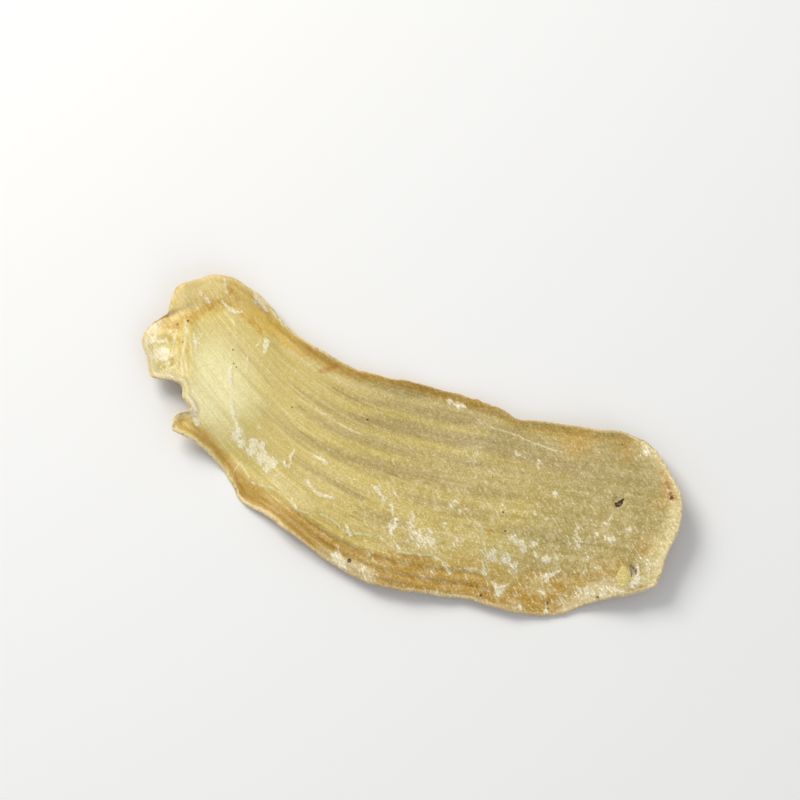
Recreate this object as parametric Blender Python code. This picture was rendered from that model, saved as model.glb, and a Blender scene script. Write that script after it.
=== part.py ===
# A dried slice of gastrodia root, cut lengthwise: one thin, horny blade with a cockled rim.
# +X runs from the flared end to the rounded end, +Y to the edge with the upturned lip, +Z up.
# The slice lies on a flat surface at z = 0, on three low spots of its underside.
# Places on the slice are given by two shares: u along it and v across it, from the lower edge.

import bisect
import math

import bmesh
import bpy
from mathutils import Vector, noise

NODE = "gastrodia_slice"
MM = 0.001  # the sizes below are in millimetres

# Outline of the cut face, seen from above
UPPER_EDGE = (
    (-57.7, 15.0), (-55.3, 18.0), (-51.7, 21.0), (-48.0, 22.2), (-43.5, 21.7), (-38.8, 20.5),
    (-35.0, 18.4), (-30.1, 16.6), (-24.6, 15.9), (-18.3, 15.2), (-10.0, 16.0), (-3.6, 17.6),
    (3.2, 18.8), (10.0, 19.5), (15.9, 19.5), (19.1, 19.1), (23.6, 20.7), (29.6, 22.2),
    (36.6, 24.0), (41.1, 25.6), (45.6, 25.5),
)
LOWER_EDGE = (
    (-45.9, -12.7), (-41.0, -13.0), (-34.8, -14.8), (-30.4, -17.4), (-26.8, -20.1), (-21.5, -20.9),
    (-14.3, -22.7), (-8.7, -24.0), (-2.7, -25.1), (4.5, -25.6), (12.8, -24.0), (18.9, -22.2),
    (25.0, -20.3), (31.7, -19.3), (38.4, -17.8), (42.6, -16.0), (46.9, -12.3), (51.7, -8.6),
    (56.4, -5.6), (59.9, -2.5),
)
FLARED_END = (
    (-45.9, -12.7), (-46.7, -9.9), (-44.2, -7.2), (-46.5, -5.6), (-48.1, -3.4), (-50.8, -3.2),
    (-54.6, -4.1), (-56.9, -1.0), (-59.9, 2.6), (-59.8, 6.2), (-57.2, 9.9), (-57.6, 12.4),
    (-57.7, 15.0),
)
ROUNDED_END = (
    (59.9, -2.5), (60.0, 1.5), (59.5, 5.6), (59.9, 9.2), (59.2, 13.0), (57.2, 17.4),
    (52.7, 21.2), (49.0, 24.0), (45.6, 25.5),
)
FLARED_REACH = 0.24   # share of the length over which an end's outline fades into the blade
ROUNDED_REACH = 0.22
LENGTH = 112.0        # along the middle
RAGGED = 0.3          # how far the torn edge of the flared end strays from its outline
NIBBLED = 0.25        # how far the rest of the rim strays
RAGGED_SIZE = 3.6
RIM_REACH = 5.0       # the rim's wandering dies away over this distance

# Thickness
BODY_THICKNESS = 1.5
RIM_THICKNESS = 0.85
FLARED_THICKNESS = 1.0
THIN_WIDTH = 5.0      # the rim thins over this distance

# Long forms of the blade
CAMBER = 2.3
CAMBER_CREST = 0.46   # share across where the camber is highest
HEAD_LIFT = 3.0
HEAD_TILT = 0.8       # share of that lift that only the upper side has
HEAD_LENGTH = 0.25
TAIL_LIFT = 1.3
TAIL_LENGTH = 0.2
COCKLES = 0.55        # slow waves along both long edges
LOWER_COCKLES = 4.3   # how many of them
LOWER_PHASE = 0.12
UPPER_COCKLES = 5.2
UPPER_PHASE = 0.55
UPPER_SHARE = 0.6     # the waves of the upper edge are this much lower
COCKLE_WIDTH = 10.0
UNEVEN = 0.35
UNEVEN_SIZE = 15.0

# Rim
LIP_HEIGHT = 1.15
LIP_WIDTH = 2.2
LIP_END = 0.9         # from here to the rounded end the upper lip dies away
CAP_START = 0.08      # up to here along, the flared end has a cap with a wider lip
CAP_END = 0.22        # and here the lip is as narrow as it is farther on
CAP_LIP_WIDER = 4.0
CAP_GROOVE_LOWER = 2.8
GROOVE_DEPTH = 0.65
GROOVE_FROM_EDGE = 4.3
GROOVE_WIDTH = 2.4
GROOVE_END = 0.6      # from here to where the lip ends the groove dies away
END_LIP_HEIGHT = 0.7
END_CREASE_DEPTH = 0.4
END_CREASE_FROM_EDGE = 4.6
LOWER_LIP_HEIGHT = 0.55
LOWER_LIP_LENGTH = 0.42
LOWER_LIP_FADE = 0.1
CORNER_ROLL = 0.7     # the lip stands higher at the flared end's lower corner
CORNER_ROLL_LENGTH = 0.12
CORNER_ROLL_WIDTH = 0.25

# Lobe that bends down beside the crease at the flared end
CREASE_TOP = Vector((-52.4, 9.2))
CREASE_FOOT = Vector((-47.9, 0.7))
LOBE_DROP = 2.0
LOBE_WIDTH = 8.0
LOBE_FOOT = -7.0      # no lobe below this y
LOBE_FADE = 4.0
CREASE_RIDGE = 0.3
CREASE_RIDGE_WIDTH = 1.6
CREASE_RIDGE_REACH = 16.0

# Lower border: a scalloped ledge under the field, then pleats along the edge
LEDGE_HEIGHT = 0.38
LEDGE_FROM_EDGE = 5.2
LEDGE_BOW = 3.2       # the ledge is this much farther from the edge near the middle
LEDGE_BOW_PLACE, LEDGE_BOW_WIDTH = 0.46, 0.12
LEDGE_SLOPE = 0.8     # the ledge rises over this distance to either side of its line
LEDGE_BACK = 14.0     # and falls back to the field over this one
SCALLOP = 1.5
SCALLOP_LENGTH = 11.7
SCALLOP_SHIFT = 0.8   # towards the flared end
SCALLOP_SKEW = 1.5    # each scallop rises slowly and falls back steeply to its tip
LEDGE_START, LEDGE_STOP = 0.1, 0.74
LEDGE_FADE = 0.07
PLEAT_DEPTH = 0.24
PLEAT_SPACING = 2.5
PLEAT_BAND = 7.5
PLEAT_FADE = 2.0
PLEAT_DRIFT = 1.1     # how far the pleats stray across the border
PLEAT_DRIFT_SIZE = 22.0

# Fibre ridges that fan out from the flared end
RIDGE_HEIGHT = 0.14
RIDGE_SPACING = 5.6
RIDGE_PATCH = 13.0    # length over which a ridge comes and goes
RIDGE_FADE = 0.3      # how much fainter they are towards the rounded end
RIDGE_WANDER = 2.2
RIDGE_WANDER_SIZE = 30.0
UPPER_FIBRE = (-18.0, 15.6, 0.25, 12.0)  # place of its bend, height there, slope beyond it, softness
LOWER_FIBRE = (3.0, -25.3, 0.3, 14.0)
FIBRE_WIDTH = 40.0    # between those two
FIBRE_FAN = 8.5       # how much nearer the lower edge they are at FAN_END than at the flared end
FAN_END = -6.0
FAN_LENGTH = 45.0

# Chip broken out of the face near the rounded end
CHIP = Vector((45.7, 10.9))
CHIP_RADIUS = 1.3
CHIP_FLOOR = 0.55     # share of the radius that is flat
CHIP_DEPTH = 0.5

# Low spots on which the slice rests, as shares along and across
LOW_SPOTS = ((0.2, 0.17), (0.79, 0.19), (0.58, 0.83))
LOW_SPOT_RADIUS = 11.0
LOW_SPOT_PRESS = 0.12  # how far each would sink in before it is flattened
CLEARANCE = 0.9        # lifts the rest of the underside off the surface

# Mesh
CELLS_ALONG = 80
CELLS_ACROSS = 30
CROWD_ALONG = 0.3      # cells are shorter towards the ends and edges, where the form is finer
CROWD_ACROSS = 0.35

FLESH = (0.56, 0.44, 0.18, 1.0)


class Edge:
    """A smooth curve through points, read by the share of its length."""

    def __init__(self, points):
        self.points = [Vector(point) for point in points]
        self.reached = [0.0]
        for here, there in zip(self.points, self.points[1:]):
            self.reached.append(self.reached[-1] + (there - here).length)

    def slope(self, i):
        """Direction at a point: that of its two neighbouring chords, the nearer one counting more."""
        last = len(self.points) - 1
        before, after = max(i - 1, 0), min(i + 1, last)
        if before == i or after == i:
            return (self.points[after] - self.points[before]) / (self.reached[after] - self.reached[before])
        step_in = self.reached[i] - self.reached[before]
        step_out = self.reached[after] - self.reached[i]
        chord_in = (self.points[i] - self.points[before]) / step_in
        chord_out = (self.points[after] - self.points[i]) / step_out
        return (chord_in * step_out + chord_out * step_in) / (step_in + step_out)

    def place(self, share):
        goal = share * self.reached[-1]
        i = min(max(bisect.bisect_right(self.reached, goal) - 1, 0), len(self.points) - 2)
        span = self.reached[i + 1] - self.reached[i]
        t = (goal - self.reached[i]) / span
        here, there = self.points[i], self.points[i + 1]
        ease = t * t * (3 - 2 * t)
        leave = t * (1 - t) ** 2 * span
        arrive = t * t * (1 - t) * span
        return here * (1 - ease) + there * ease + self.slope(i) * leave - self.slope(i + 1) * arrive


upper = Edge(UPPER_EDGE)
lower = Edge(LOWER_EDGE)
flared = Edge(FLARED_END)
rounded = Edge(ROUNDED_END)


def step(low, high, value):
    """0 below low, 1 above high, smooth between."""
    t = min(max((value - low) / (high - low), 0.0), 1.0)
    return t * t * (3 - 2 * t)


def bump(offset, width):
    """1 at no offset, dying away over the width on both sides."""
    return math.exp(-((offset / width) ** 2))


def waver(x, y, size, layer):
    """Smooth unevenness between about -1 and 1, alike on each run."""
    return noise.noise(Vector((x / size, y / size, layer)))


def plan(u, v):
    """Where u, v lie seen from above: between the long edges, bent to the outline of each end."""
    place = lower.place(u).lerp(upper.place(u), v)
    at_flared = max(1 - u / FLARED_REACH, 0.0) ** 2
    if at_flared:
        straight = lower.place(0).lerp(upper.place(0), v)
        place = place + (flared.place(v) - straight) * at_flared
    at_rounded = max(1 - (1 - u) / ROUNDED_REACH, 0.0) ** 2
    if at_rounded:
        straight = lower.place(1).lerp(upper.place(1), v)
        place = place + (rounded.place(v) - straight) * at_rounded
    at_rim = 1 - step(0, RIM_REACH, min(edge_distances(u, v)))
    stray = at_rim * (NIBBLED + (RAGGED - NIBBLED) * at_flared)
    place.x += stray * waver(place.x, place.y, RAGGED_SIZE, 3.0)
    place.y += stray * waver(place.x, place.y, RAGGED_SIZE, 8.0)
    return place


def edge_distances(u, v):
    """How far a place is from the lower, upper, flared and rounded edges."""
    width = (upper.place(u) - lower.place(u)).length
    return v * width, (1 - v) * width, u * LENGTH, (1 - u) * LENGTH


def long_form(u, v, from_lower, from_upper):
    """Camber, lifted ends and the slow waves of the long edges."""
    camber = CAMBER * (1 - ((v - CAMBER_CREST) / (1 - CAMBER_CREST)) ** 2)
    head = HEAD_LIFT * (1 - step(0, HEAD_LENGTH, u)) * (1 - HEAD_TILT * (1 - v))
    tail = TAIL_LIFT * step(1 - TAIL_LENGTH, 1, u)
    low_wave = math.sin(math.tau * (LOWER_COCKLES * u + LOWER_PHASE))
    high_wave = math.sin(math.tau * (UPPER_COCKLES * u + UPPER_PHASE)) * UPPER_SHARE
    low_wave *= 1 - step(0, COCKLE_WIDTH, from_lower)
    high_wave *= 1 - step(0, COCKLE_WIDTH, from_upper)
    return camber + head + tail + COCKLES * (low_wave + high_wave)


def rim_form(u, v, from_upper, from_flared, from_rounded, from_lower):
    """The lip and groove of the upper edge, the creased end and the lip of the lower edge."""
    on_cap = 1 - step(CAP_START, CAP_END, u)
    lip_width = LIP_WIDTH + CAP_LIP_WIDER * on_cap
    lip = LIP_HEIGHT * (1 - step(0, lip_width, from_upper)) * (1 - step(LIP_END, 1, u))
    groove_middle = GROOVE_FROM_EDGE + CAP_GROOVE_LOWER * on_cap
    groove = GROOVE_DEPTH * bump(from_upper - groove_middle, GROOVE_WIDTH)
    groove *= 1 - step(GROOVE_END, LIP_END, u)
    end_lip = END_LIP_HEIGHT * (1 - step(0, LIP_WIDTH, from_rounded))
    end_crease = END_CREASE_DEPTH * bump(from_rounded - END_CREASE_FROM_EDGE, LIP_WIDTH)
    turned = 1 - step(0, LIP_WIDTH, from_lower)
    lower_lip = LOWER_LIP_HEIGHT * turned
    lower_lip *= 1 - step(LOWER_LIP_LENGTH - LOWER_LIP_FADE, LOWER_LIP_LENGTH, u)
    corner = CORNER_ROLL * (1 - step(0, LIP_WIDTH, min(from_lower, from_flared)))
    corner *= (1 - step(0, CORNER_ROLL_LENGTH, u)) * (1 - step(0.1, CORNER_ROLL_WIDTH, v))
    return lip - groove + end_lip - end_crease + lower_lip + corner


def lobe_form(place):
    """The crease at the flared end and the lobe that bends down beyond it."""
    along = (CREASE_FOOT - CREASE_TOP).normalized()
    beyond = (place - CREASE_TOP).dot(Vector((along.y, -along.x)))
    held = step(LOBE_FOOT, LOBE_FOOT + LOBE_FADE, place.y)
    ridge = CREASE_RIDGE * bump(beyond, CREASE_RIDGE_WIDTH)
    ridge *= 1 - step(0.6, 1, abs(place.y - CREASE_TOP.y) / CREASE_RIDGE_REACH)
    return held * (ridge - LOBE_DROP * step(0, LOBE_WIDTH, beyond))


def border_form(u, from_lower):
    """The scalloped ledge and the pleats of the lower border."""
    held = step(LEDGE_START, LEDGE_START + LEDGE_FADE, u)
    held *= 1 - step(LEDGE_STOP - LEDGE_FADE, LEDGE_STOP, u)
    share = ((u * LENGTH + SCALLOP_SHIFT) / SCALLOP_LENGTH) % 1.0
    scallop = SCALLOP * math.sin(math.pi * share ** SCALLOP_SKEW)
    bow = LEDGE_BOW * bump(u - LEDGE_BOW_PLACE, LEDGE_BOW_WIDTH)
    over = from_lower - LEDGE_FROM_EDGE - bow - scallop
    ledge = LEDGE_HEIGHT * (step(-LEDGE_SLOPE, LEDGE_SLOPE, over) - step(LEDGE_SLOPE, LEDGE_BACK, over))
    drift = PLEAT_DRIFT * waver(u * LENGTH, 0, PLEAT_DRIFT_SIZE, 5.0)
    pleats = PLEAT_DEPTH * math.cos(math.tau * (from_lower + drift) / PLEAT_SPACING)
    in_band = step(0, PLEAT_FADE, from_lower) * (1 - step(PLEAT_BAND - PLEAT_FADE, PLEAT_BAND, from_lower))
    return held * (ledge - pleats * in_band)


def bent_line(x, bend, height, slope, softness):
    """A line that falls to its bend and rises beyond it."""
    return height + slope * (math.hypot(x - bend, softness) - softness)


def fibre_line(place):
    """What stays the same along one fibre: fibres follow the blade's bend and fan out at the flared end."""
    low = bent_line(place.x, *LOWER_FIBRE)
    high = bent_line(place.x, *UPPER_FIBRE)
    fan = FIBRE_FAN * max((FAN_END - place.x) / FAN_LENGTH, 0.0) ** 2
    return FIBRE_WIDTH * (place.y - low) / (high - low) - fan


def fibre_form(u, place):
    """Low ridges along the fibres."""
    across = fibre_line(place)
    wander = RIDGE_WANDER * waver(u * LENGTH, across * 2, RIDGE_WANDER_SIZE, 1.0)
    strength = 0.45 + 0.55 * waver(u * LENGTH / 3, across, RIDGE_PATCH, 6.0)
    strength -= RIDGE_FADE * step(0.5, 0.9, u)
    return RIDGE_HEIGHT * strength * math.cos(math.tau * (across + wander) / RIDGE_SPACING)


def chip_form(place):
    """The hollow of the chip, with an uneven outline."""
    off = (place - CHIP).length * (1 + 0.5 * waver(place.x, place.y, CHIP_RADIUS, 11.0))
    return -CHIP_DEPTH * (1 - step(CHIP_FLOOR * CHIP_RADIUS, CHIP_RADIUS, off))


def inner_share(distances):
    """0 at the nearest edge, 1 past the band in which the blade thins."""
    return step(0, THIN_WIDTH, min(distances))


def thickness(u, v):
    body = FLARED_THICKNESS + (BODY_THICKNESS - FLARED_THICKNESS) * step(0, HEAD_LENGTH, u)
    return RIM_THICKNESS + (body - RIM_THICKNESS) * inner_share(edge_distances(u, v))


def free_height(u, v):
    """Height of the cut face above the surface, before the low spots are pressed down."""
    place = plan(u, v)
    from_lower, from_upper, from_flared, from_rounded = edge_distances(u, v)
    return (
        CLEARANCE
        + BODY_THICKNESS
        + long_form(u, v, from_lower, from_upper)
        + rim_form(u, v, from_upper, from_flared, from_rounded, from_lower)
        + lobe_form(place)
        + border_form(u, from_lower)
        + UNEVEN * waver(place.x, place.y, UNEVEN_SIZE, 0.0)
    )


# Each low spot's place, and how far the blade is pressed down there
pressed_spots = [
    (plan(u, v), free_height(u, v) - thickness(u, v) + LOW_SPOT_PRESS) for u, v in LOW_SPOTS
]


def blade_point(u, v):
    """The plan place of u, v with the heights of the cut face and of the underside there."""
    place = plan(u, v)
    top = free_height(u, v)
    for spot, press in pressed_spots:
        top -= press * bump((place - spot).length, LOW_SPOT_RADIUS)
    under = max(top - thickness(u, v), 0.0)
    relief = inner_share(edge_distances(u, v)) * (fibre_form(u, place) + chip_form(place))
    return place, under + thickness(u, v) + relief, under


def crowded(share, amount):
    """Moves evenly spaced shares closer together towards 0 and 1."""
    return share - amount * math.sin(math.tau * share) / math.tau


def flesh_material():
    material = bpy.data.materials.new("dried_flesh")
    material.use_nodes = True
    surface = material.node_tree.nodes["Principled BSDF"]
    surface.inputs["Base Color"].default_value = FLESH
    surface.inputs["Roughness"].default_value = 0.5
    surface.inputs["Metallic"].default_value = 0.0
    return material


def make_slice():
    """A grid laid out on the plan, triangulated once, then extruded to the blade's two faces."""
    mesh = bmesh.new()
    bmesh.ops.create_grid(mesh, x_segments=CELLS_ALONG, y_segments=CELLS_ACROSS, size=0.5)
    bmesh.ops.triangulate(mesh, faces=mesh.faces[:], quad_method="FIXED")
    under = mesh.verts[:]
    shares = []
    for vert in under:
        shares.append((crowded(vert.co.x + 0.5, CROWD_ALONG), crowded(vert.co.y + 0.5, CROWD_ACROSS)))
    made = bmesh.ops.extrude_face_region(mesh, geom=mesh.faces[:])["geom"]
    above = {tuple(vert.co): vert for vert in made if isinstance(vert, bmesh.types.BMVert)}
    for vert, (u, v) in zip(under, shares):
        place, top, bottom = blade_point(u, v)
        over = above[tuple(vert.co)]
        over.co = Vector((place.x, place.y, top)) * MM
        vert.co = Vector((place.x, place.y, bottom)) * MM
    rim = [face for face in mesh.faces if len(face.verts) > 3]
    bmesh.ops.triangulate(mesh, faces=rim, quad_method="FIXED")
    bmesh.ops.recalc_face_normals(mesh, faces=mesh.faces[:])
    data = bpy.data.meshes.new(NODE)
    mesh.to_mesh(data)
    mesh.free()
    data.shade_smooth()
    data.materials.append(flesh_material())
    blade = bpy.data.objects.new(NODE, data)
    bpy.context.scene.collection.objects.link(blade)


for old in list(bpy.data.objects):
    bpy.data.objects.remove(old)
make_slice()
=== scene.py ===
# A dried slice of gastrodia root on a pale table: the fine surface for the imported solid.
# Sizes and places are in millimetres, in the frame of the solid; the mesh is made in metres.

import bisect
import math

import bmesh
import bpy
from mathutils import Color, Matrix, Vector, kdtree, noise


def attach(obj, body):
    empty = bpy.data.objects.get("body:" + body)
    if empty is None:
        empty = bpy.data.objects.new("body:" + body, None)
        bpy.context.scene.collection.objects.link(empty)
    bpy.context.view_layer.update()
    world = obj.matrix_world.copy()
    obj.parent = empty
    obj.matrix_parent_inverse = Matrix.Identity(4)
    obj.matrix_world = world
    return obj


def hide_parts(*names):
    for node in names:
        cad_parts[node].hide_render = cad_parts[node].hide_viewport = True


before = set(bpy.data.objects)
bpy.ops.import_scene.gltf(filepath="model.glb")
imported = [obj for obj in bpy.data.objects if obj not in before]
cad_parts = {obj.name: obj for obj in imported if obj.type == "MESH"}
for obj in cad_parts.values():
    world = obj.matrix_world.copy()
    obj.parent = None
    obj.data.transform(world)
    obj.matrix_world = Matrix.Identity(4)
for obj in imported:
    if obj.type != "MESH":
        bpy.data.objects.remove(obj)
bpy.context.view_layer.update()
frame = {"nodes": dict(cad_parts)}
node = "gastrodia_slice"
mm = 0.001
print("loaded the frame:", ", ".join(frame["nodes"]))


class Values(dict):
    # a dictionary whose values are also read by name, as in form.camber
    __getattr__ = dict.__getitem__


# Small sums used everywhere below

def smoothStep(low, high, value):
    # 0 below low, 1 above high
    t = min(max((value - low) / (high - low), 0.0), 1.0)
    return t * t * (3 - 2 * t)


def fade(low, high, value):
    return 1 - smoothStep(low, high, value)


def bell(offset, width):
    return math.exp(-((offset / width) ** 2))


def waver(x, y, size, layer):
    # smooth unevenness between about -1 and 1
    return noise.noise(Vector((x / size, y / size, layer)))


def readOff(stops, value):
    # straight runs between (position, height) stops
    for (x0, y0), (x1, y1) in zip(stops, stops[1:]):
        if value <= x1:
            return y0 + (y1 - y0) * max(value - x0, 0.0) / (x1 - x0)
    return stops[-1][1]


# Outline of the cut face, the same four curves as the solid's

outline = Values({
    "upper": [
        (-57.7, 15), (-55.3, 18), (-51.7, 21), (-48, 22.2), (-43.5, 21.7), (-38.8, 20.5),
        (-35, 18.4), (-30.1, 16.6), (-24.6, 15.9), (-18.3, 15.2), (-10, 16), (-3.6, 17.6),
        (3.2, 18.8), (10, 19.5), (15.9, 19.5), (19.1, 19.1), (23.6, 20.7), (29.6, 22.2),
        (36.6, 24), (41.1, 25.6), (45.6, 25.5),
    ],
    "lower": [
        (-45.9, -12.7), (-41, -13), (-34.8, -14.8), (-30.4, -17.4), (-26.8, -20.1),
        (-21.5, -20.9), (-14.3, -22.7), (-8.7, -24), (-2.7, -25.1), (4.5, -25.6),
        (12.8, -24), (18.9, -22.2), (25, -20.3), (31.7, -19.3), (38.4, -17.8),
        (42.6, -16), (46.9, -12.3), (51.7, -8.6), (56.4, -5.6), (59.9, -2.5),
    ],
    "flared": [
        (-45.9, -12.7), (-46.7, -9.9), (-44.2, -7.2), (-46.5, -5.6), (-48.1, -3.4), (-50.8, -3.2),
        (-54.6, -4.1), (-56.9, -1), (-59.9, 2.6), (-59.8, 6.2), (-57.2, 9.9), (-57.6, 12.4),
        (-57.7, 15),
    ],
    "rounded": [
        (59.9, -2.5), (60, 1.5), (59.5, 5.6), (59.9, 9.2), (59.2, 13), (57.2, 17.4),
        (52.7, 21.2), (49, 24), (45.6, 25.5),
    ],
    "flaredReach": 0.24,     # share of the length over which an end's outline fades into the blade
    "roundedReach": 0.22,
    "length": 112,
    "nibbled": 0.25,         # how far the rim strays from these curves
    "ragged": 0.3,           # and at the torn end
    "raggedSize": 3.6,
    "crumbled": 0.16,        # finer straying, right at the rim
    "crumbledSize": 1.15,
    "rimReach": 5,
    "crumbledReach": 1,
})


class Edge:
    # a smooth curve through points, read by the share of its length
    def __init__(self, points):
        self.points = [Vector(point) for point in points]
        self.known = {}
        self.reached = [0.0]
        for here, there in zip(self.points, self.points[1:]):
            self.reached.append(self.reached[-1] + (there - here).length)

    def slope(self, i):
        last = len(self.points) - 1
        before, after = max(i - 1, 0), min(i + 1, last)
        if before == i or after == i:
            return (self.points[after] - self.points[before]) / (self.reached[after] - self.reached[before])
        stepIn = self.reached[i] - self.reached[before]
        stepOut = self.reached[after] - self.reached[i]
        chordIn = (self.points[i] - self.points[before]) / stepIn
        chordOut = (self.points[after] - self.points[i]) / stepOut
        return (chordIn * stepOut + chordOut * stepIn) / (stepIn + stepOut)

    def place(self, share):
        if share not in self.known:
            goal = share * self.reached[-1]
            i = min(max(bisect.bisect_right(self.reached, goal) - 1, 0), len(self.points) - 2)
            span = self.reached[i + 1] - self.reached[i]
            t = (goal - self.reached[i]) / span
            leave = t * (1 - t) ** 2 * span
            arrive = t * t * (1 - t) * span
            chord = self.points[i].lerp(self.points[i + 1], t * t * (3 - 2 * t))
            self.known[share] = chord + self.slope(i) * leave - self.slope(i + 1) * arrive
        return self.known[share]


upperEdge = Edge(outline.upper)
lowerEdge = Edge(outline.lower)
flaredEnd = Edge(outline.flared)
roundedEnd = Edge(outline.rounded)


def distances(u, v):
    # from the lower, upper, flared and rounded edges
    width = (upperEdge.place(u) - lowerEdge.place(u)).length
    return v * width, (1 - v) * width, u * outline.length, (1 - u) * outline.length


def plan(u, v):
    # where the shares u along and v across lie, seen from above
    o = outline
    place = lowerEdge.place(u).lerp(upperEdge.place(u), v)
    atFlared = max(1 - u / o.flaredReach, 0.0) ** 2
    if atFlared:
        place = place + (flaredEnd.place(v) - lowerEdge.place(0).lerp(upperEdge.place(0), v)) * atFlared
    atRounded = max(1 - (1 - u) / o.roundedReach, 0.0) ** 2
    if atRounded:
        place = place + (roundedEnd.place(v) - lowerEdge.place(1).lerp(upperEdge.place(1), v)) * atRounded
    near = min(distances(u, v))
    stray = fade(0, o.rimReach, near) * (o.nibbled + (o.ragged - o.nibbled) * atFlared)
    crumble = fade(0, o.crumbledReach, near) * o.crumbled
    place.x += stray * waver(*place, o.raggedSize, 3)
    place.y += stray * waver(*place, o.raggedSize, 8)
    place.x += crumble * waver(*place, o.crumbledSize, 21)
    place.y += crumble * waver(*place, o.crumbledSize, 25)
    return place


# Main forms of the blade, as in the solid

form = Values({
    "bodyThickness": 1.5, "rimThickness": 0.85, "flaredThickness": 1, "thinWidth": 5,
    "camber": 2.3, "camberCrest": 0.46,
    "headLift": 3, "headTilt": 0.8, "headLength": 0.25,
    "tailLift": 1.3, "tailLength": 0.2,
    "cockles": 0.55, "cockleWidth": 10,
    "lowerCockles": 4.3, "lowerPhase": 0.12,
    "upperCockles": 5.2, "upperPhase": 0.55, "upperShare": 0.6,
    "uneven": 0.35, "unevenSize": 15,
    "lipHeight": 1.15, "lipWidth": 2.2, "lipEnd": 0.9,
    "capStart": 0.08, "capEnd": 0.22, "capLipWider": 4, "capGrooveLower": 2.8,
    "grooveDepth": 0.65, "grooveFromEdge": 4.3, "grooveWidth": 2.4, "grooveEnd": 0.6,
    "endLipHeight": 0.7, "endCreaseDepth": 0.4, "endCreaseFromEdge": 4.6,
    "lowerLipHeight": 0.55, "lowerLipLength": 0.42, "lowerLipFade": 0.1,
    "cornerRoll": 0.7, "cornerRollLength": 0.12, "cornerRollStart": 0.1, "cornerRollWidth": 0.25,
    "creaseTop": Vector((-52.4, 9.2)), "creaseFoot": Vector((-47.9, 0.7)),
    "lobeDrop": 2, "lobeWidth": 8, "lobeFoot": -7, "lobeFade": 4,
    "creaseRidge": 0.3, "creaseRidgeWidth": 1.6, "creaseRidgeReach": 16, "creaseRidgeHeld": 0.6,
    "ledgeHeight": 0.38, "ledgeFromEdge": 5.2, "ledgeSlope": 0.8, "ledgeBack": 14,
    "ledgeBow": 3.2, "ledgeBowPlace": 0.46, "ledgeBowWidth": 0.12,
    "ledgeStart": 0.1, "ledgeStop": 0.74, "ledgeFade": 0.07,
    "scallop": 1.5, "scallopLength": 11.7, "scallopShift": 0.8, "scallopSkew": 1.5,
    "pleatDepth": 0.24, "pleatSpacing": 2.5, "pleatBand": 7.5, "pleatFade": 2,
    "pleatDrift": 1.1, "pleatDriftSize": 22,
    "ridgeHeight": 0.14, "ridgeSpacing": 5.6, "ridgePatch": 13, "ridgeStrength": 0.45,
    "ridgeFade": 0.3, "ridgeFadeFrom": (0.5, 0.9),
    "ridgeWander": 2.2, "ridgeWanderSize": 30,
    "upperFibre": (-18, 15.6, 0.25, 12),   # place of its bend, height there, slope beyond it, softness
    "lowerFibre": (3, -25.3, 0.3, 14),
    "fibreWidth": 40, "fibreFan": 8.5, "fanEnd": -6, "fanLength": 45,
    "chip": Vector((45.7, 10.9)), "chipRadius": 1.3, "chipFloor": 0.55, "chipDepth": 0.5, "chipRagged": 0.5,
    "lowSpots": [(0.2, 0.17), (0.79, 0.19), (0.58, 0.83)],
    "lowSpotRadius": 11, "lowSpotPress": 0.12, "clearance": 0.9,
})


def longForm(u, v):
    f = form
    fromLower, fromUpper = distances(u, v)[:2]
    camber = f.camber * (1 - ((v - f.camberCrest) / (1 - f.camberCrest)) ** 2)
    head = f.headLift * fade(0, f.headLength, u) * (1 - f.headTilt * (1 - v))
    tail = f.tailLift * smoothStep(1 - f.tailLength, 1, u)
    lowWave = math.sin(math.tau * (f.lowerCockles * u + f.lowerPhase))
    highWave = math.sin(math.tau * (f.upperCockles * u + f.upperPhase)) * f.upperShare
    lowWave *= fade(0, f.cockleWidth, fromLower)
    highWave *= fade(0, f.cockleWidth, fromUpper)
    return camber + head + tail + f.cockles * (lowWave + highWave)


def rimForm(u, v):
    f = form
    fromLower, fromUpper, fromFlared, fromRounded = distances(u, v)
    onCap = fade(f.capStart, f.capEnd, u)
    lip = f.lipHeight * fade(0, f.lipWidth + f.capLipWider * onCap, fromUpper)
    lip *= fade(f.lipEnd, 1, u)
    grooveMiddle = f.grooveFromEdge + f.capGrooveLower * onCap
    groove = f.grooveDepth * bell(fromUpper - grooveMiddle, f.grooveWidth)
    groove *= fade(f.grooveEnd, f.lipEnd, u)
    endLip = f.endLipHeight * fade(0, f.lipWidth, fromRounded)
    endCrease = f.endCreaseDepth * bell(fromRounded - f.endCreaseFromEdge, f.lipWidth)
    lowerLip = f.lowerLipHeight * fade(0, f.lipWidth, fromLower)
    lowerLip *= fade(f.lowerLipLength - f.lowerLipFade, f.lowerLipLength, u)
    corner = f.cornerRoll * fade(0, f.lipWidth, min(fromLower, fromFlared))
    corner *= fade(0, f.cornerRollLength, u) * fade(f.cornerRollStart, f.cornerRollWidth, v)
    return lip - groove + endLip - endCrease + lowerLip + corner


def beyondCrease(place):
    # how far a place is past the crease at the flared end
    along = (form.creaseFoot - form.creaseTop).normalized()
    return (place - form.creaseTop).dot(Vector((along.y, -along.x)))


def lobeForm(place):
    f = form
    beyond = beyondCrease(place)
    held = smoothStep(f.lobeFoot, f.lobeFoot + f.lobeFade, place.y)
    ridge = f.creaseRidge * bell(beyond, f.creaseRidgeWidth)
    ridge *= fade(f.creaseRidgeHeld, 1, abs(place.y - f.creaseTop.y) / f.creaseRidgeReach)
    return held * (ridge - f.lobeDrop * smoothStep(0, f.lobeWidth, beyond))


def borderHeld(u):
    f = form
    rise = smoothStep(f.ledgeStart, f.ledgeStart + f.ledgeFade, u)
    return rise * fade(f.ledgeStop - f.ledgeFade, f.ledgeStop, u)


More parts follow.
